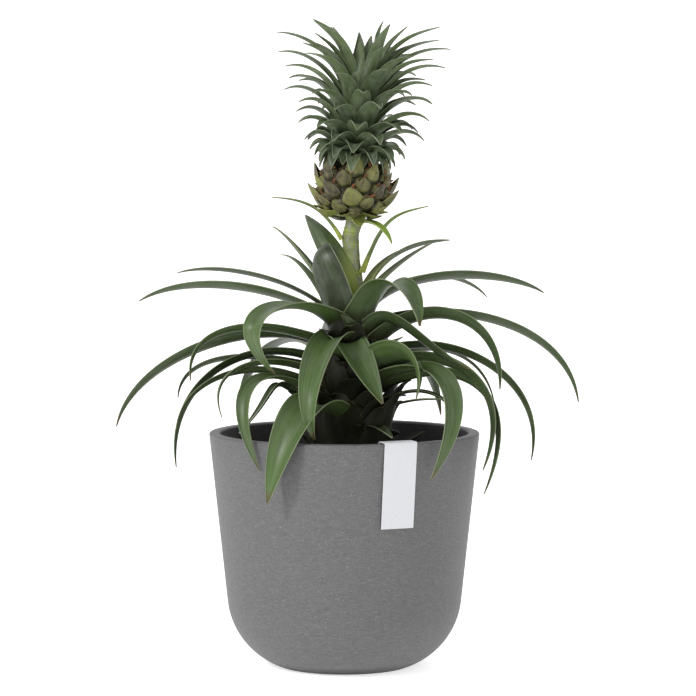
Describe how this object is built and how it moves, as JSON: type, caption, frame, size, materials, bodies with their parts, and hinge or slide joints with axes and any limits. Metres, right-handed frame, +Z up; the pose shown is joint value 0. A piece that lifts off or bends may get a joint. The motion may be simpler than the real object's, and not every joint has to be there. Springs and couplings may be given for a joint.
{
  "type": "potted pineapple plant",
  "caption": "Small fruiting pineapple plant with arching leaves and a leafy crown, in a tapered round grey planter.",
  "frame": {"origin": "centre of the planter's flat base, on the surface it stands on", "axes": "+Z up; +X to the plant's right and -Y towards its front, the side of the label"},
  "size_m": [0.3474, 0.2607, 0.4793],
  "materials": {
    "planter_shell": "matt recycled plastic with fine horizontal brushing, mid grey",
    "nursery_pot_plastic": "thin black thermoformed plastic",
    "potting_soil": "dark crumbly peat soil",
    "label_card": "plain white strap, satin",
    "leafy_stem": "pale green stem under the leaf bases",
    "rosette_leaf": "dark grey-green leaf with a waxy bloom and fine lengthwise veins",
    "stalk_skin": "green stalk with grey scurf and rings",
    "bract_leaf": "yellow-green at the foot to dark green at the tip",
    "fruit_skin": "olive and brown fruitlets with dry brown tips",
    "crown_leaf": "dark green leaf with a grey bloom"
  },
  "bodies": {
    "root": {"planter": "planter_shell", "nursery_pot": "nursery_pot_plastic", "soil": "potting_soil", "label_strap": "label_card", "stem_base": "leafy_stem", "leaf_01": "rosette_leaf", "leaf_02": "rosette_leaf", "leaf_03": "rosette_leaf", "leaf_04": "rosette_leaf", "leaf_05": "rosette_leaf", "leaf_06": "rosette_leaf", "leaf_07": "rosette_leaf", "leaf_08": "rosette_leaf", "leaf_09": "rosette_leaf", "leaf_10": "rosette_leaf", "leaf_11": "rosette_leaf", "leaf_12": "rosette_leaf", "leaf_13": "rosette_leaf", "leaf_14": "rosette_leaf", "leaf_15": "rosette_leaf", "leaf_16": "rosette_leaf", "leaf_17": "rosette_leaf", "leaf_18": "rosette_leaf", "leaf_19": "rosette_leaf", "leaf_20": "rosette_leaf", "leaf_21": "rosette_leaf", "leaf_22": "rosette_leaf", "leaf_23": "rosette_leaf", "leaf_24": "rosette_leaf", "leaf_25": "rosette_leaf", "leaf_26": "rosette_leaf", "leaf_27": "rosette_leaf", "leaf_28": "rosette_leaf", "leaf_29": "rosette_leaf", "leaf_30": "rosette_leaf", "leaf_31": "rosette_leaf", "leaf_32": "rosette_leaf", "leaf_33": "rosette_leaf", "leaf_34": "rosette_leaf", "leaf_35": "rosette_leaf", "leaf_36": "rosette_leaf", "leaf_37": "rosette_leaf", "leaf_38": "rosette_leaf", "leaf_39": "rosette_leaf", "leaf_40": "rosette_leaf", "leaf_41": "rosette_leaf", "leaf_42": "rosette_leaf", "fruit_stalk": "stalk_skin", "stalk_bract_1": "bract_leaf", "stalk_bract_2": "bract_leaf", "stalk_bract_3": "bract_leaf", "fruit": "fruit_skin", "crown_stem": "leafy_stem", "crown_whorl_1": "crown_leaf", "crown_whorl_2": "crown_leaf", "crown_whorl_3": "crown_leaf", "crown_whorl_4": "crown_leaf", "crown_whorl_5": "crown_leaf", "crown_whorl_6": "crown_leaf", "crown_whorl_7": "crown_leaf"}
  },
  "joints": []
}
